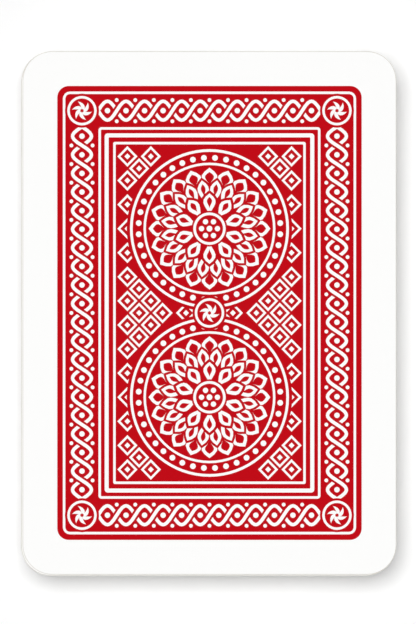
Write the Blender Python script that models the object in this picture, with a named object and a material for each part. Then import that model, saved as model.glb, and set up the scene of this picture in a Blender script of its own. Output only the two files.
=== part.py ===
"""A deck of rummy cards: fifty-two suited cards and two jokers, squared up and lying face down."""

import math

import bpy

# Driving dimensions, in metres
CARD_WIDTH = 0.0635
CARD_LENGTH = 0.0889
CARD_THICKNESS = 0.00029
CORNER_RADIUS = 0.005
AIR_FILM = 0.00001  # between one card and the next
JOG = 0.00012  # the most that a card of a hand-squared deck lies off the true stack
THUMB_INSET = 0.009  # from the near short edge to the point that the cards fan about

CORNER_STEPS = 8
JOG_TURN_X = 2.4  # radians from card to card, so that the jog never repeats
JOG_TURN_Y = 3.7

SUITS = ("spades", "hearts", "clubs", "diamonds")
RANKS = (
    "ace",
    "two",
    "three",
    "four",
    "five",
    "six",
    "seven",
    "eight",
    "nine",
    "ten",
    "jack",
    "queen",
    "king",
)
JOKERS = ("joker_black", "joker_red")

CARD_WHITE = (0.93, 0.93, 0.92, 1.0)
VARNISH_ROUGHNESS = 0.4

PITCH = CARD_THICKNESS + AIR_FILM
THUMB_Y = THUMB_INSET - CARD_LENGTH / 2


def card_names():
    """The cards from the bottom of the deck to the top."""
    suited = [f"{rank}_of_{suit}" for suit in SUITS for rank in RANKS]
    return suited + list(JOKERS)


def card_outline():
    """The points of a rounded rectangle about the card's middle, anticlockwise."""
    points = []
    for corner in range(4):
        start = corner * math.pi / 2
        middle = start + math.pi / 4
        centre_x = math.copysign(CARD_WIDTH / 2 - CORNER_RADIUS, math.cos(middle))
        centre_y = math.copysign(CARD_LENGTH / 2 - CORNER_RADIUS, math.sin(middle))
        for step in range(CORNER_STEPS + 1):
            angle = start + step / CORNER_STEPS * math.pi / 2
            x = centre_x + CORNER_RADIUS * math.cos(angle)
            y = centre_y + CORNER_RADIUS * math.sin(angle)
            points.append((x, y))
    return points


def coated_card():
    """White card stock under a thin satin varnish."""
    material = bpy.data.materials.new("coated_card")
    material.use_nodes = True
    shader = material.node_tree.nodes["Principled BSDF"]
    shader.inputs["Base Color"].default_value = CARD_WHITE
    shader.inputs["Roughness"].default_value = VARNISH_ROUGHNESS
    shader.inputs["Metallic"].default_value = 0.0
    return material


def card_blank():
    """The die-cut sheet that every card is: a flat outline with the card's thickness."""
    blank = bpy.data.curves.new("card_blank", "CURVE")
    blank.dimensions = "2D"
    blank.fill_mode = "BOTH"
    blank.extrude = CARD_THICKNESS / 2
    points = card_outline()
    edge = blank.splines.new("POLY")
    edge.points.add(len(points) - 1)
    for point, (x, y) in zip(edge.points, points):
        point.co = (x, y, 0.0, 1.0)
    edge.use_cyclic_u = True
    blank.materials.append(coated_card())
    return blank


def card_place(level):
    """The middle of the card at this level of the deck, counted from 0 at the bottom."""
    x = JOG * math.sin(level * JOG_TURN_X)
    y = JOG * math.sin(level * JOG_TURN_Y)
    return x, y, level * PITCH + CARD_THICKNESS / 2


def fan_pivot(collection):
    """The upright axis under the thumb, which the cards above the bottom one fan about."""
    pivot = bpy.data.objects.new("fan_pivot", None)
    pivot.location = (0.0, THUMB_Y, 0.0)
    pivot.empty_display_size = CARD_WIDTH / 4
    collection.objects.link(pivot)
    return pivot


def build_deck():
    for leftover in list(bpy.data.objects):
        bpy.data.objects.remove(leftover, do_unlink=True)
    deck = bpy.data.collections.new("rummy_card_deck")
    bpy.context.scene.collection.children.link(deck)
    blank = card_blank()
    pivot = fan_pivot(deck)
    for level, name in enumerate(card_names()):
        card = bpy.data.objects.new(name, blank)
        x, y, z = card_place(level)
        if level == 0:
            card.location = (x, y, z)
        else:
            card.parent = pivot
            card.location = (x, y - THUMB_Y, z)
        deck.objects.link(card)


build_deck()
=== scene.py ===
"""Looks of a rummy card deck, face down: 54 printed cards of coated paper, squared up in one stack."""

import math

import bpy
import numpy as np
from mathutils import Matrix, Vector
from mathutils.bvhtree import BVHTree
from mathutils.geometry import delaunay_2d_cdt


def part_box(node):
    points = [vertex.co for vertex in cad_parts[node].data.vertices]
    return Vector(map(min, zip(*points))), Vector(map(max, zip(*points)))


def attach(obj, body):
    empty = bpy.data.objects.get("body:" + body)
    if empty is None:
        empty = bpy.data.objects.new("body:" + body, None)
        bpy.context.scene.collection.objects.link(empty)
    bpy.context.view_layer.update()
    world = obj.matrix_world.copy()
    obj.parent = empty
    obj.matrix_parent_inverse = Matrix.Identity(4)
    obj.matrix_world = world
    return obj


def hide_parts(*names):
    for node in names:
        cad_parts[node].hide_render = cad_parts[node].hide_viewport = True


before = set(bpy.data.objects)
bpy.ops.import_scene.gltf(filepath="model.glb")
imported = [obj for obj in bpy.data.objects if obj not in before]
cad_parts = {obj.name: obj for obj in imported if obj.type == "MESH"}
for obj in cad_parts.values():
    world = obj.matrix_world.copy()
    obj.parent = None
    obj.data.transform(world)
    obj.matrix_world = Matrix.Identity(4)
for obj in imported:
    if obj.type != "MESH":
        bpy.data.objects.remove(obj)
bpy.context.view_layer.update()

# The blank card. Two plies of white clay-coated paper are glued together over a thin grey core, which keeps
# light from shining through. The sheet is rolled with a fine emboss and varnished, and a steel die punches
# each card out from the back, which rolls that rim over. Lengths here and below are in millimetres.
deck = sorted(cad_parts, key=lambda name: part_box(name)[0].z)
low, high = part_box(deck[0])
HALF_WIDTH, HALF_LENGTH, HALF_THICK = (high - low) * 500
CORNER_RADIUS, CORNER_STEPS = 5.0, 10
ROLLED_RIM, CRISP_RIM = 0.12, 0.02
HALF_CORE = 0.012
EMBOSS_PITCH, EMBOSS_DEPTH, EMBOSS_STRENGTH = 0.5, 0.04, 0.2
MOTTLE = 7.0
# Paper fibres are some 0.03 mm thick, too fine to show, so the nap that they raise is drawn coarser.
NAP, NAP_DEPTH, NAP_STRENGTH = 0.4, 0.04, 0.06
CUT_ROUGHNESS = 0.7, 0.95
VARNISH_IOR, FIBRE_IOR = 1.45, 1.47
# Colours of the cut edge and the rolled rim. The rim's grey is partly painted shade, standing in for the dark
# line between stacked or fanned cards that shows each card's outline, and partly the greying of handled
# varnish. The jokers get the lightest rim, so less painted shade rings the top card.
EDGE_WEAR_AND_RIM_SHADE = {
    "clean": ("#F8F7F3", "#D8D5CE"),
    "handled": ("#F3F1EC", "#C2BEB5"),
    "dusty": ("#ECE9E3", "#B4B0A7"),
}

# Where each finish stands in a card's list of materials.
PAPER, RED, BLACK, GLUE_CORE, CUT_EDGE, RIM_WEAR_AND_SHADE = range(6)


def linear(code):
    """An sRGB hex colour as linear red, green, blue and full alpha."""
    shares = [int(code[digit : digit + 2], 16) / 255 for digit in (1, 3, 5)]
    return [s / 12.92 if s <= 0.04045 else ((s + 0.055) / 1.055) ** 2.4 for s in shares] + [1.0]


def add_node(tree, kind, inputs, **settings):
    """Adds a node with these settings. Each input takes a value, or the output socket that feeds it."""
    node = tree.nodes.new(kind)
    for name, value in settings.items():
        setattr(node, name, value)
    for name, value in inputs.items():
        if isinstance(value, bpy.types.NodeSocket):
            tree.links.new(value, node.inputs[name])
        else:
            node.inputs[name].default_value = value
    return node


def coated_paper(name, colour, smooth, matt):
    """Embossed and varnished paper: a satin sheen, broken by shallow round dimples and a faint mottle."""
    material = bpy.data.materials.new(name)
    material.use_nodes = True
    tree = material.node_tree
    shader = tree.nodes["Principled BSDF"]
    spot = add_node(tree, "ShaderNodeTexCoord", {}).outputs["Object"]
    mottle = add_node(tree, "ShaderNodeTexNoise", {"Vector": spot, "Scale": 1000 / MOTTLE, "Detail": 3})
    sheen = add_node(
        tree, "ShaderNodeMapRange", {"Value": mottle.outputs["Fac"], "To Min": smooth, "To Max": matt}
    )
    dimple = add_node(
        tree,
        "ShaderNodeTexVoronoi",
        {"Vector": spot, "Scale": 1000 / EMBOSS_PITCH, "Randomness": 0},
        voronoi_dimensions="2D",
        feature="SMOOTH_F1",
    )
    relief = add_node(
        tree,
        "ShaderNodeBump",
        {
            "Height": dimple.outputs["Distance"],
            "Strength": EMBOSS_STRENGTH,
            "Distance": EMBOSS_DEPTH / 1000,
        },
    )
    shader.inputs["Base Color"].default_value = linear(colour)
    shader.inputs["IOR"].default_value = VARNISH_IOR
    tree.links.new(sheen.outputs["Result"], shader.inputs["Roughness"])
    tree.links.new(relief.outputs["Normal"], shader.inputs["Normal"])
    return material


def raw_board(name, colour):
    """Paper sheared by the die: dull, soft to the eye and furred with short fibres along the cut."""
    material = bpy.data.materials.new(name)
    material.use_nodes = True
    tree = material.node_tree
    shader = tree.nodes["Principled BSDF"]
    spot = add_node(tree, "ShaderNodeTexCoord", {}).outputs["Object"]
    fibre = add_node(tree, "ShaderNodeTexNoise", {"Vector": spot, "Scale": 1000 / NAP, "Detail": 4})
    smooth, matt = CUT_ROUGHNESS
    dullness = add_node(
        tree, "ShaderNodeMapRange", {"Value": fibre.outputs["Fac"], "To Min": smooth, "To Max": matt}
    )
    fuzz = add_node(
        tree,
        "ShaderNodeBump",
        {"Height": fibre.outputs["Fac"], "Strength": NAP_STRENGTH, "Distance": NAP_DEPTH / 1000},
    )
    shader.inputs["Base Color"].default_value = linear(colour)
    shader.inputs["IOR"].default_value = FIBRE_IOR
    tree.links.new(dullness.outputs["Result"], shader.inputs["Roughness"])
    tree.links.new(fuzz.outputs["Normal"], shader.inputs["Normal"])
    return material


def rounded(half_x, half_y, radius, steps):
    """Outline of a rectangle with round corners about the card's centre, counter-clockwise."""
    outline = []
    for corner in range(4):
        start = corner * math.pi / 2
        x = math.copysign(half_x - radius, math.cos(start + math.pi / 4))
        y = math.copysign(half_y - radius, math.sin(start + math.pi / 4))
        for step in range(steps + 1):
            angle = start + math.pi / 2 * step / steps
            outline.append((x + radius * math.cos(angle), y + radius * math.sin(angle)))
    return outline


def card_outline(inset):
    """The card's outline, this far in from its widest edge."""
    return rounded(HALF_WIDTH - inset, HALF_LENGTH - inset, CORNER_RADIUS - inset, CORNER_STEPS)


# The rim from the back to the face: each ring's inset and height, and the finish of the band below it.
rim_rings = []
for turn in (0, 30, 60, 90):
    across, down = 1 - math.sin(math.radians(turn)), 1 - math.cos(math.radians(turn))
    # The upper rounding takes the grey rim colour: painted shade for the line between cards, with some
    # handling wear.
    finish = RIM_WEAR_AND_SHADE if turn < 60 else CUT_EDGE
    rim_rings.append((ROLLED_RIM * across, HALF_THICK - ROLLED_RIM * down, finish))
rim_rings += [
    (0, HALF_CORE, GLUE_CORE),
    (0, -HALF_CORE, CUT_EDGE),
    (0, CRISP_RIM - HALF_THICK, CUT_EDGE),
    (CRISP_RIM, -HALF_THICK, CUT_EDGE),
]
rim = []
for (inset, z, finish), (next_inset, next_z, _) in zip(rim_rings, rim_rings[1:]):
    upper = [(x, y, z) for x, y in card_outline(inset)]
    lower = [(x, y, next_z) for x, y in card_outline(next_inset)]
    for corner in range(len(upper)):
        rim.append(([upper[corner - 1], lower[corner - 1], lower[corner], upper[corner]], finish))

# Clay coat under satin varnish: an even, bright white with a soft, broken shine.
white_coat = coated_paper("white_coated_paper", "#FAFAF9", 0.36, 0.46)
# Glue darkened with carbon: a dull grey hair line half way up the cut edge.
glue_core = raw_board("grey_glue_core", "#8C8D90")
# Bare paper along the cut, matt and off-white, and the greyer rim that shows each card's outline: its grey is
# painted shade for the line between cards, with some handling wear.
worn_and_shaded_edges = {
    wear: [raw_board(wear + "_cut_edge", cut), raw_board(wear + "_rounded_rim_shade_and_wear", rolled)]
    for wear, (cut, rolled) in EDGE_WEAR_AND_RIM_SHADE.items()
}

# The inks. They are laid on the white coat as solid spots by an offset press, one plate to a colour, so every
# edge in the print is crisp. The varnish goes over them, and gives inked and bare paper nearly one sheen.
PRINT_WELD = 1e-5  # corners of the print that lie closer than this are one

# Offset inks under the varnish: flat and dense, and a shade glossier than the bare coat.
red_ink = coated_paper("red_offset_ink", "#BD0513", 0.34, 0.44)
black_ink = coated_paper("black_offset_ink", "#17161A", 0.34, 0.44)
finishes = [white_coat, red_ink, black_ink, glue_core]


def print_sheet(shapes):
    """Triangles of a sheet that carries these shapes, each an outline and its ink, one laid over another.

    The first pass finds which shape lies uppermost everywhere. The second keeps only the edges between
    unlike inks, so that a plain area takes few triangles."""
    points, loops = [], []
    for outline, _ in shapes:
        x, y = np.transpose(outline)
        clockwise = np.sum(x * np.roll(y, -1) - np.roll(x, -1) * y) < 0
        loops.append(range(len(points), len(points) + len(outline)))
        points += [Vector(point) for point in (outline[::-1] if clockwise else outline)]
    points, _, parts, _, _, covers = delaunay_2d_cdt(points, [], loops, 1, PRINT_WELD)
    inks = [shapes[max(cover)][1] for cover in covers]
    uppermost = BVHTree.FromPolygons([(x, y, 0) for x, y in points], parts)
    sides = {}
    for part, ink in zip(parts, inks):
        for ends in zip(part, [*part[1:], part[0]]):
            sides.setdefault(tuple(sorted(ends)), []).append(ink)
    borders = [ends for ends, met in sides.items() if len(met) == 1 or met[0] != met[1]]
    number = {old: new for new, old in enumerate(sorted({end for ends in borders for end in ends}))}
    borders = [(number[a], number[b]) for a, b in borders]
    points, _, parts, _, _, _ = delaunay_2d_cdt([points[old] for old in number], borders, [], 1, PRINT_WELD)
    sheet = []
    for part in parts:
        corners = [points[corner] for corner in part]
        x, y = sum(corners, Vector((0, 0))) / 3
        sheet.append((corners, inks[uppermost.find_nearest((x, y, 0))[2]]))
    return sheet


# The back's panel and frames. Every card carries the same panel of red ink, inside a white margin, so that no
# card can be told from the next. Rules left bare in it set off a border band and a field, as on most backs.
MARGIN = 5.9
PANEL_X, PANEL_Y = HALF_WIDTH - MARGIN, HALF_LENGTH - MARGIN
PANEL_RADIUS = 1.95
# Each rule's inset from the panel's edge, its width, and its outer corner's radius.
RULES = ((0.95, 0.42, 1.2), (7.0, 0.42, 0.5), (8.05, 0.68, 0.5), (9.5, 0.42, 0.3))
LEAST_RADIUS = 0.15

back = [(card_outline(ROLLED_RIM), PAPER), (rounded(PANEL_X, PANEL_Y, PANEL_RADIUS, 8), RED)]
for inset, width, radius in RULES:
    inner = inset + width
    back.append((rounded(PANEL_X - inset, PANEL_Y - inset, radius, 4), PAPER))
    back.append((rounded(PANEL_X - inner, PANEL_Y - inner, max(radius - width, LEAST_RADIUS), 4), RED))

# The back's border band, left bare in the red ink: two strands that pass over and under each other, with a
# bead in every eye and a dot on each side of every crossing. It runs between four round bosses of curved
# blades in the corners.
BAND_INSET, BAND_CLEAR = 4.2, 0.25
EYES_ACROSS, EYES_ALONG = 12, 20
STRAND_WIDTH, STRAND_SWING, STRAND_GAP = 0.58, 1.6, 0.36
STRAND_STEPS, STEP_CROWDING = 8, 0.06
EYE_BEAD, SIDE_DOT, DOT_ASIDE = 0.48, 0.34, 1.8
BOSS_GROUND, BOSS_RADIUS, BOSS_INSIDE = 2.9, 2.5, 2.08
BLADES, BLADE_SWEEP = 6, 0.95
BLADE_ROOT, BLADE_TIP, BLADE_WIDTH = 0.3, 1.7, 0.72
BOSS_X, BOSS_Y = PANEL_X - BAND_INSET, PANEL_Y - BAND_INSET


def disc(x, y, radius, sides):
    """Outline of a dot."""
    angles = [2 * math.pi * side / sides for side in range(sides)]
    return [(x + radius * math.cos(angle), y + radius * math.sin(angle)) for angle in angles]


def twisted_band(start, end, eyes):
    """Shapes of the two-strand twist from start to end."""
    start, end = Vector(start), Vector(end)
    along = (end - start) / eyes
    aside = Vector((-along.y, along.x)).normalized()

    def strand(side, first, last, width):
        """Outline of a strand from one step to another. The steps crowd where it bends most."""
        left, right = [], []
        for step in range(first, last + 1):
            share = step / STRAND_STEPS
            share += STEP_CROWDING * math.sin(2 * math.pi * share)
            angle = math.pi * share
            spot = start + along * share + aside * side * STRAND_SWING * math.sin(angle)
            way = along + aside * side * STRAND_SWING * math.pi * math.cos(angle)
            half = Vector((-way.y, way.x)).normalized() * width / 2
            left.append(spot + half)
            right.append(spot - half)
        return left + right[::-1]

    shapes = [(strand(side, 0, eyes * STRAND_STEPS, STRAND_WIDTH), PAPER) for side in (1, -1)]
    over = STRAND_STEPS // 2
    for crossing in range(1, eyes):
        side, middle = (-1) ** crossing, crossing * STRAND_STEPS
        gap = strand(side, middle - over + 1, middle + over - 1, STRAND_WIDTH + 2 * STRAND_GAP)
        shapes += [(gap, RED), (strand(side, middle - over, middle + over, STRAND_WIDTH), PAPER)]
        for offset in (DOT_ASIDE, -DOT_ASIDE):
            shapes.append((disc(*(start + along * crossing + aside * offset), SIDE_DOT, 8), PAPER))
    for eye in range(eyes):
        shapes.append((disc(*(start + along * (eye + 0.5)), EYE_BEAD, 10), PAPER))
    return shapes


def boss(x, y):
    """Shapes of a ringed boss of curved blades on a red ground."""
    rings = ((BOSS_GROUND, RED), (BOSS_RADIUS, PAPER), (BOSS_INSIDE, RED))
    shapes = [(disc(x, y, radius, 32), ink) for radius, ink in rings]
    for blade in range(BLADES):
        lead, trail = [], []
        for step in range(7):
            share = step / 6
            reach = BLADE_ROOT + (BLADE_TIP - BLADE_ROOT) * share
            angle = 2 * math.pi * blade / BLADES + BLADE_SWEEP * share
            half = BLADE_WIDTH / 2 * math.sin(math.pi * (0.1 + 0.9 * share) ** 0.9) / reach
            lead.append((x + reach * math.cos(angle + half), y + reach * math.sin(angle + half)))
            trail.append((x + reach * math.cos(angle - half), y + reach * math.sin(angle - half)))
        shapes.append((lead + trail[::-1], PAPER))
    return shapes


run_x, run_y = BOSS_X - BOSS_RADIUS - BAND_CLEAR, BOSS_Y - BOSS_RADIUS - BAND_CLEAR
back += twisted_band((-run_x, BOSS_Y), (run_x, BOSS_Y), EYES_ACROSS)
back += twisted_band((run_x, -BOSS_Y), (-run_x, -BOSS_Y), EYES_ACROSS)
back += twisted_band((BOSS_X, run_y), (BOSS_X, -run_y), EYES_ALONG)
back += twisted_band((-BOSS_X, -run_y), (-BOSS_X, run_y), EYES_ALONG)
for x in (-BOSS_X, BOSS_X):
    for y in (-BOSS_Y, BOSS_Y):
        back += boss(x, y)

# The back's field, left bare in the same way: a diaper of nested lozenges that fills the ground behind two
# dahlia rosettes, one for each end of the card, with a boss where their rims meet. The whole print reads the
# same either way up.
FIELD_INSET = 9.92
FIELD_X, FIELD_Y = PANEL_X - FIELD_INSET, PANEL_Y - FIELD_INSET
LOZENGES_ACROSS, LOZENGES_ALONG = 8, 14
LOZENGE_RINGS = ((0.86, PAPER), (0.6, RED), (0.25, PAPER))
LOZENGE_CLEAR = 0.3
ROSETTE_Y = FIELD_Y / 2
ROSETTE_RADIUS = 13.5
ROSETTE_RIM = ((0.55, RED), (0, PAPER), (-0.45, RED))
RIM_BEADS, BEAD_CIRCLE, RIM_BEAD = 40, 12.05, 0.5
PETAL_RING = ((11.2, PAPER), (10.8, RED))
# Each row's petals, its turn in petals, a petal's inner and outer reach and width, the width of its red core,
# and the red gap that parts it from the row behind.
PETAL_ROWS = (
    (20, 0.0, 5.8, 10.35, 2.75, 1.55, 0.0),
    (20, 0.5, 4.0, 8.3, 1.95, 0.8, 0.32),
    (10, 0.0, 2.2, 6.0, 2.1, 0.9, 0.35),
)
# Where a petal's core starts and ends along it, and how much wider the gap is at its tip.
CORE_START, CORE_END, TIP_GAP = 0.34, 0.84, 1.6
EYE_RINGS = ((3.05, RED), (2.75, PAPER), (2.3, RED))
SEEDS, SEED_CIRCLE, SEED, MIDDLE_SEED = 6, 1.35, 0.46, 0.5


def petal(centre_y, angle, start, end, width):
    """Outline of a pointed petal between two radii of a rosette."""
    steps = [step / 7 for step in range(8)]
    reach = [start + (end - start) * share for share in steps]
    half = [width / 2 * math.sin(math.pi * share**1.5) for share in steps]
    sides = [*zip(reach, half), *[(r, -h) for r, h in zip(reach, half)][-2:0:-1]]
    cos, sin = math.cos(angle), math.sin(angle)
    return [(r * cos - h * sin, centre_y + r * sin + h * cos) for r, h in sides]


def rosette(centre_y):
    """Shapes of a beaded ring round rows of overlapping petals."""
    shapes = [(disc(0, centre_y, ROSETTE_RADIUS + grow, 72), ink) for grow, ink in ROSETTE_RIM]
    for bead in range(RIM_BEADS):
        angle = 2 * math.pi * (bead + 0.5) / RIM_BEADS
        x, y = BEAD_CIRCLE * math.cos(angle), centre_y + BEAD_CIRCLE * math.sin(angle)
        shapes.append((disc(x, y, RIM_BEAD, 10), PAPER))
    shapes += [(disc(0, centre_y, radius, 64), ink) for radius, ink in PETAL_RING]
    for petals, turn, start, end, width, core, gap in PETAL_ROWS:
        angles = [math.pi / 2 + 2 * math.pi * (count + turn) / petals for count in range(petals)]
        if gap:
            for angle in angles:
                ground = petal(centre_y, angle, start - gap, end + gap * TIP_GAP, width + 2 * gap)
                shapes.append((ground, RED))
        inner, outer = start + (end - start) * CORE_START, start + (end - start) * CORE_END
        for angle in angles:
            shapes.append((petal(centre_y, angle, start, end, width), PAPER))
            shapes.append((petal(centre_y, angle, inner, outer, core), RED))
    shapes += [(disc(0, centre_y, radius, 40), ink) for radius, ink in EYE_RINGS]
    shapes.append((disc(0, centre_y, MIDDLE_SEED, 14), PAPER))
    for count in range(SEEDS):
        angle = 2 * math.pi * count / SEEDS
        x, y = SEED_CIRCLE * math.cos(angle), SEED_CIRCLE * math.sin(angle)
        shapes.append((disc(x, centre_y + y, SEED, 14), PAPER))
    return shapes


half_x, half_y = FIELD_X / LOZENGES_ACROSS, FIELD_Y / LOZENGES_ALONG
for column in range(1, 2 * LOZENGES_ACROSS):
    for row in range(1, 2 * LOZENGES_ALONG):
        x, y = column * half_x - FIELD_X, row * half_y - FIELD_Y
        clear = math.hypot(x, abs(y) - ROSETTE_Y) > ROSETTE_RADIUS + LOZENGE_CLEAR
        if (column + row) % 2 == 0 and clear:
            for scale, ink in LOZENGE_RINGS:
                dx, dy = half_x * scale, half_y * scale
                back.append(([(x + dx, y), (x, y + dy), (x - dx, y), (x, y - dy)], ink))
back += rosette(ROSETTE_Y) + rosette(-ROSETTE_Y) + boss(0, 0)
back_sheet = [([(x, y, HALF_THICK) for x, y in corners], ink) for corners, ink in print_sheet(back)]

# The pips and corner indices. Each face is printed in one ink with its suit's sign as often as the card
# counts, and with its rank in two corners, so that a fanned hand can be read. The lower half stands on its
# head. Signs and figures are drawn one high about their middle, and placed at their real height.
INDEX_X, INDEX_Y, INDEX_SIGN_Y = 26.4, 36.6, 28.4
RANK_HEIGHT, RANK_WIDEST, RANK_BOLD = 7.4, 0.86, 0.013
INDEX_SIGN, PIP, ACE_SIGN = 5.6, 10.5, 22.0
COLUMN_X, ROW_Y = 10.8, 27.4
RANKS = dict(
    ace="A", two="2", three="3", four="4", five="5", six="6", seven="7", eight="8", nine="9", ten="10",
    jack="J", queen="Q", king="K",
)
SIDE_ROWS = {4: (1,), 5: (1,), 6: (1, 0), 7: (1, 0), 8: (1, 0), 9: (1, 1 / 3), 10: (1, 1 / 3)}
MIDDLE_ROWS = {2: (1, -1), 3: (1, 0, -1), 5: (0,), 7: (0.5,), 8: (0.5, -0.5), 9: (0,), 10: (2 / 3, -2 / 3)}


def heart_spot(turn):
    """A spot on the outline of a heart one high, from its notch at no turn to its tip at half a turn."""
    angle = 2 * math.pi * turn
    waves = zip((13, -5, -2, -1), (1, 2, 3, 4))
    height = sum(reach * math.cos(count * angle) for reach, count in waves)
    return 16 / 29 * math.sin(angle) ** 3, (height + 2.5) / 29


heart = [heart_spot(step / 80) for step in range(80)]
stem = [(0.03, -0.1), (0.05, -0.3), (0.2, -0.5), (-0.2, -0.5), (-0.05, -0.3), (-0.03, -0.1)]
lozenge = []
tips = [(0.37, 0), (0, 0.5), (-0.37, 0), (0, -0.5)]
for (x, y), (next_x, next_y) in zip(tips, tips[1:] + tips[:1]):
    for step in range(6):
        share = step / 6
        pinch = 1 - 0.16 * math.sin(math.pi * share)
        lozenge.append(((x + (next_x - x) * share) * pinch, (y + (next_y - y) * share) * pinch))
leaves = [disc(x, y, 0.235, 24) for x, y in ((0, 0.26), (-0.26, -0.1), (0.26, -0.1))]
signs = {
    "hearts": [heart],
    "diamonds": [lozenge],
    "spades": [[(x * 0.92, 0.08 - y * 0.84) for x, y in heart], stem],
    "clubs": [*leaves, disc(0, 0, 0.12, 12), stem],
}


def place(outlines, ink, x, y, size, turned=False):
    """Shapes of a sign of this height at a spot, set upright or on its head."""
    scale = -size if turned else size
    return [([(x + px * scale, y + py * scale) for px, py in outline], ink) for outline in outlines]


def both_ends(outlines, ink, x, y, size):
    """A sign in the upper half, and the same on its head in the lower one."""
    return place(outlines, ink, x, y, size) + place(outlines, ink, -x, -y, size, True)


def rank_figures(text):
    """Outlines of a rank's figures, in facets, struck four times a little apart to make them bold."""
    letters = bpy.data.curves.new(text, "FONT")
    letters.body = text
    letters.resolution_u = 5
    sample = bpy.data.objects.new(text, letters)
    bpy.context.collection.objects.link(sample)
    flat = bpy.data.meshes.new_from_object(sample.evaluated_get(bpy.context.evaluated_depsgraph_get()))
    spots = np.array([vertex.co[:2] for vertex in flat.vertices])
    spots = (spots - (spots.min(0) + spots.max(0)) / 2) / np.ptp(spots[:, 1])
    spots[:, 0] *= min(1, RANK_WIDEST / np.ptp(spots[:, 0]))
    # A facet of no area would flood the whole sheet with its ink.
    facets = [spots[list(face.vertices)] for face in flat.polygons if face.area > 1e-6]
    bpy.data.objects.remove(sample)
    bpy.data.curves.remove(letters)
    bpy.data.meshes.remove(flat)
    strikes = [(x, y) for x in (-RANK_BOLD, RANK_BOLD) for y in (-RANK_BOLD, RANK_BOLD)]
    return [facet + strike for strike in strikes for facet in facets]


def corner_index(figures, outlines, ink):
    """Rank and small sign in the two opposite corners."""
    rank = both_ends(figures, ink, -INDEX_X, INDEX_Y, RANK_HEIGHT)
    return rank + both_ends(outlines, ink, -INDEX_X, INDEX_SIGN_Y, INDEX_SIGN)


def pips(count, outlines, ink):
    """The suit's sign as often as the card counts."""
    made = []
    for row in SIDE_ROWS.get(count, ()):
        for x in (-COLUMN_X, COLUMN_X):
            made += both_ends(outlines, ink, x, row * ROW_Y, PIP) if row else place(outlines, ink, x, 0, PIP)
    for row in MIDDLE_ROWS.get(count, ()):
        made += place(outlines, ink, 0, row * ROW_Y, PIP, row < 0)
    return made


# The court cards, the jokers and the ace of spades, also in one ink each. A crown of three, five or seven
# points over the suit's sign stands for jack, queen or king, in a ruled frame and the same at both ends. The
# jokers have a wheel of stars. The ace of spades is by custom larger than the other aces, and ornamented.
COURT_X, COURT_Y = 20.6, 35.0
COURT_RULES = ((0, 0.4), (0.9, 0.25))
CROWN_POINTS = {"jack": 3, "queen": 5, "king": 7}
CROWN_WIDTH, CROWN_Y = 22, 23
COURT_SIGN, COURT_SIGN_Y = 9, 9.6
BELT_X = COURT_X - 1.15
BELT_OUTSIDE, BELT_INSIDE = 3.2, 2.8
BELT_LOZENGES, BELT_PITCH = 9, 4.3
GREAT_STAR, STAR_HOLE, MIDDLE_STAR = 13, 4.6, 3.9
WHEEL_STARS, WHEEL_RADIUS, WHEEL_STAR = 16, 18.5, 1.9
INDEX_STAR = 3.6
ACE_OF_SPADES = 40.0
ACE_RINGS = ((0.86, PAPER), (0.81, BLACK), (0.5, PAPER), (0.45, BLACK))
ACE_STAR, ACE_STAR_HOLE, ACE_STAR_Y = 4.6, 1.2, -0.5
ACE_BEADS, ACE_BEAD = 7, 0.6


def crown(points, ink):
    """Shapes of a crown, one wide about its middle."""
    spread = [(-0.5, -0.22), (0.5, -0.22)]
    tops = []
    for point in range(points):
        x = 0.5 - point / (points - 1)
        height = 0.24 - 0.1 * (2 * x) ** 2
        tops.append((x * 1.1, height))
        spread.append((x * 1.1, height))
        if point < points - 1:
            spread.append(((x - 0.5 / (points - 1)) * 1.02, -0.04))
    shapes = [(spread, ink)]
    shapes += [(disc(x, y + 0.03, 0.05, 14), ink) for x, y in tops]
    shapes.append(([(-0.5, -0.25), (0.5, -0.25), (0.5, -0.36), (-0.5, -0.36)], ink))
    shapes += [(disc((jewel - 3) * 0.14, -0.305, 0.034, 12), PAPER) for jewel in range(7)]
    return shapes


def court(points, outlines, ink):
    """Shapes of a court card inside its indices."""
    made = []
    for inset, width in COURT_RULES:
        made.append((rounded(COURT_X - inset, COURT_Y - inset, 0.4, 2), ink))
        made.append((rounded(COURT_X - inset - width, COURT_Y - inset - width, 0.3, 2), PAPER))
    made.append((rounded(BELT_X, BELT_OUTSIDE, 0.1, 1), ink))
    made.append((rounded(BELT_X, BELT_INSIDE, 0.1, 1), PAPER))
    for count in range(BELT_LOZENGES):
        x = (count - BELT_LOZENGES // 2) * BELT_PITCH
        made.append(([(x + 2, 0), (x, 2.5), (x - 2, 0), (x, -2.5)], ink))
        made.append((disc(x, 0, 0.6, 14), PAPER))
    for way in (1, -1):
        for outline, colour in crown(points, ink):
            placed = [(way * CROWN_WIDTH * x, way * (CROWN_WIDTH * y + CROWN_Y)) for x, y in outline]
            made.append((placed, colour))
    return made + both_ends(outlines, ink, 0, COURT_SIGN_Y, COURT_SIGN)


def star(x, y, points, radius, inner):
    """Outline of a star with one point up."""
    outline = []
    for step in range(2 * points):
        reach = radius * (inner if step % 2 else 1)
        angle = math.pi / 2 + math.pi * step / points
        outline.append((x + reach * math.cos(angle), y + reach * math.sin(angle)))
    return outline


def joker(ink):
    """Shapes of a joker: a wheel of small stars round a large one, and stars for indices."""
    made = [(star(0, 0, 8, GREAT_STAR, 0.52), ink), (disc(0, 0, STAR_HOLE, 40), PAPER)]
    made.append((star(0, 0, 8, MIDDLE_STAR, 0.5), ink))
    for count in range(WHEEL_STARS):
        angle = 2 * math.pi * count / WHEEL_STARS
        x, y = WHEEL_RADIUS * math.cos(angle), WHEEL_RADIUS * math.sin(angle)
        made.append((star(x, y, 5, WHEEL_STAR, 0.4), ink))
    for way in (1, -1):
        made.append((star(-way * INDEX_X, way * INDEX_Y, 5, INDEX_STAR, 0.4), ink))
    return made


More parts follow.
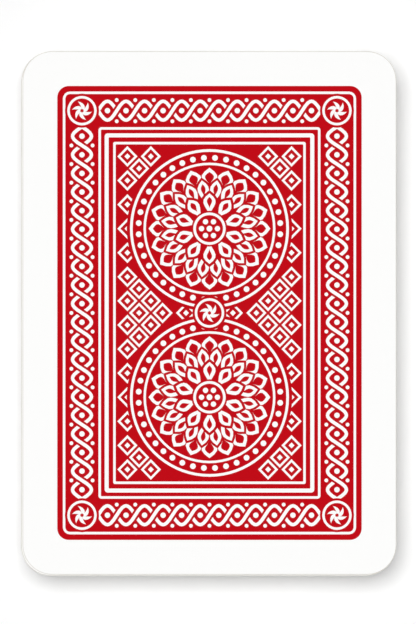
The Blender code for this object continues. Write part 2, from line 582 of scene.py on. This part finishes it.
def grand_ace():
    """Shapes of the ace of spades: blades within a blade, a star at its heart and beads between."""
    made = place(signs["spades"], BLACK, 0, 0, ACE_OF_SPADES)
    for scale, ink in ACE_RINGS:
        made += place(signs["spades"][:1], ink, 0, ACE_OF_SPADES * 0.02 * (1 - scale), ACE_OF_SPADES * scale)
    made.append((star(0, ACE_STAR_Y, 8, ACE_STAR, 0.45), PAPER))
    made.append((disc(0, ACE_STAR_Y, ACE_STAR_HOLE, 20), BLACK))
    for bead in range(ACE_BEADS):
        # The beads follow the blade half way between its two pairs of lines.
        x, y = heart_spot(0.14 + 0.03 * bead)
        x, y = 0.6 * ACE_OF_SPADES * x, ACE_OF_SPADES * (0.06 - 0.55 * y)
        made += [(disc(way * x, y, ACE_BEAD, 12), PAPER) for way in (1, -1)]
    return made


# The deck. The four suits lie in order from the ace of spades at the bottom, with the two jokers on top. Each
# card is one sheet of board, loose on the card below, and slides and turns with its own body of the frame.
def card_face(name):
    """The print on a card's face as seen from that side."""
    shapes = [(card_outline(CRISP_RIM), PAPER)]
    if name.startswith("joker"):
        return shapes + joker(RED if name.endswith("red") else BLACK)
    rank, suit = name.split("_of_")
    ink = RED if suit in ("hearts", "diamonds") else BLACK
    shapes += corner_index(rank_figures(RANKS[rank]), signs[suit], ink)
    if name == "ace_of_spades":
        return shapes + grand_ace()
    if rank == "ace":
        return shapes + place(signs[suit], ink, 0, 0, ACE_SIGN)
    if rank in CROWN_POINTS:
        return shapes + court(CROWN_POINTS[rank], signs[suit], ink)
    return shapes + pips(int(RANKS[rank]), signs[suit], ink)


def card_wear_and_rim_shade(name, level):
    """How worn a card's edges are, and how much painted shade its rim carries. Between handled and dusty the
    deck changes in no plain order.
    """
    # The jokers, on top, get the lightest rim, so the least painted shade rings their outline.
    if name.startswith("joker"):
        return "clean"
    return ("handled", "dusty")[level * level % 7 % 2]


def welded(sheet, spots):
    """Faces of a sheet as the numbers of their corners among spots, which takes in those that are new."""
    faces = []
    for corners, _ in sheet:
        keys = [tuple(round(length, 4) for length in corner) for corner in corners]
        faces.append([spots.setdefault(key, len(spots)) for key in keys])
    return faces


blank_spots = {}
blank_faces = welded(back_sheet + rim, blank_spots)
# The top cards come first, so that an export with room for few maps keeps their emboss.
for level, name in reversed([*enumerate(deck)]):
    face = print_sheet(card_face(name))
    face_sheet = [([(-x, y, -HALF_THICK) for x, y in corners], ink) for corners, ink in face]
    spots = dict(blank_spots)
    faces = blank_faces + welded(face_sheet, spots)
    mesh = bpy.data.meshes.new(name + "_card")
    mesh.from_pydata([[length / 1000 for length in spot] for spot in spots], [], faces)
    mesh.polygons.foreach_set("material_index", [finish for _, finish in back_sheet + rim + face_sheet])
    mesh.polygons.foreach_set("use_smooth", [len(corners) == 4 for corners in faces])
    for finish in finishes + worn_and_shaded_edges[card_wear_and_rim_shade(name, level)]:
        mesh.materials.append(finish)
    piece = bpy.data.objects.new(name + "_card", mesh)
    bpy.context.collection.objects.link(piece)
    low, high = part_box(name)
    piece.location = (low + high) / 2
    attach(piece, name)
    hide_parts(name)

# The table. The deck lies loose on a plain white table top, painted with a dead matt lacquer that shows no
# shine, only the deck's soft shadow. It is sunk a hair below the bottom card, so that the two don't mix.
TABLE_REACH = 6000.0
TABLE_SUNK = 0.03

table_mesh = bpy.data.meshes.new("table_top")
corners = [(-1, -1, 0), (1, -1, 0), (1, 1, 0), (-1, 1, 0)]
table_mesh.from_pydata([Vector(corner) * (TABLE_REACH / 1000) for corner in corners], [], [(0, 1, 2, 3)])
table = bpy.data.objects.new("table_top", table_mesh)
table.location.z = -TABLE_SUNK / 1000
bpy.context.collection.objects.link(table)

white_table = bpy.data.materials.new("white_table_lacquer")
white_table.use_nodes = True
lacquer = white_table.node_tree.nodes["Principled BSDF"]
lacquer.inputs["Base Color"].default_value = linear("#F6F6F6")
lacquer.inputs["Roughness"].default_value = 1.0
lacquer.inputs["Specular IOR Level"].default_value = 0.0
table_mesh.materials.append(white_table)

# The light. A wide softbox hangs over the deck, a little to its left and past its far end. Four low ones, the
# strongest at the near right, light its sides from the corners of a pale room, whose walls glow half way up.

# How bright the room is at each height, from 0 at the horizon to 1 straight overhead.
ROOM_LEVELS = ((0, 0.02), (0.45, 0.03), (0.62, 0.18), (0.8, 0.18), (0.95, 0.02))
# Each softbox's strength, its spread in degrees, and the way that it shines.
SOFTBOXES = {
    "overhead_softbox": (2.72, 22, (0.051, -0.079, -1)),
    "near_right_softbox": (0.6, 12, (-1, 1, -0.3)),
    "near_left_softbox": (0.3, 30, (1, 1, -0.3)),
    "far_left_softbox": (0.3, 30, (1, -1, -0.3)),
    "far_right_softbox": (0.3, 30, (-1, -1, -0.3)),
}

room = bpy.data.worlds.new("pale_room")
room.use_nodes = True
tree = room.node_tree
tree.nodes.clear()
seen = add_node(tree, "ShaderNodeLightPath", {}).outputs["Is Camera Ray"]
gaze = add_node(tree, "ShaderNodeTexCoord", {}).outputs["Generated"]
height = add_node(tree, "ShaderNodeSeparateXYZ", {"Vector": gaze}).outputs["Z"]
glow = add_node(tree, "ShaderNodeValToRGB", {"Fac": height})
stops = glow.color_ramp.elements
for _ in ROOM_LEVELS[2:]:
    stops.new(1.0)
for stop, (rise, level) in zip(stops, ROOM_LEVELS):
    stop.position = rise
    stop.color = (level, level, level, 1)
walls = add_node(tree, "ShaderNodeBackground", {"Color": glow.outputs["Color"]})
backdrop = add_node(tree, "ShaderNodeBackground", {"Color": linear("#FCFCFC")})
either = add_node(tree, "ShaderNodeMixShader", {0: seen, 1: walls.outputs[0], 2: backdrop.outputs[0]})
add_node(tree, "ShaderNodeOutputWorld", {"Surface": either.outputs[0]})
bpy.context.scene.world = room

for box_name, (strength, spread, shine) in SOFTBOXES.items():
    lamp = bpy.data.lights.new(box_name, "SUN")
    lamp.energy = strength
    lamp.angle = math.radians(spread)
    softbox = bpy.data.objects.new(box_name, lamp)
    softbox.rotation_euler = Vector(shine).to_track_quat("-Z", "Y").to_euler()
    # It leaves no hot spot in the cards' sheen.
    softbox.visible_glossy = False
    bpy.context.collection.objects.link(softbox)

# The camera. It looks straight down on the top card through a long lens, so that next to nothing of the
# deck's sides shows. The card stands about a pixel to the right of the middle of the frame and below it.
FRAME_HEIGHT = 105.98
SENSOR = 36
CAMERA_AWAY = Vector((-0.25, 0.16, 2000.0))

low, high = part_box(deck[-1])
lens = bpy.data.cameras.new("camera")
lens.sensor_width = SENSOR
lens.lens = SENSOR * CAMERA_AWAY.z / FRAME_HEIGHT
lens.clip_start, lens.clip_end = 0.01, 50
camera = bpy.data.objects.new("camera", lens)
camera.location = (low + high) / 2 + CAMERA_AWAY / 1000
bpy.context.collection.objects.link(camera)
bpy.context.scene.camera = camera
bpy.context.scene.view_settings.view_transform = "Standard"
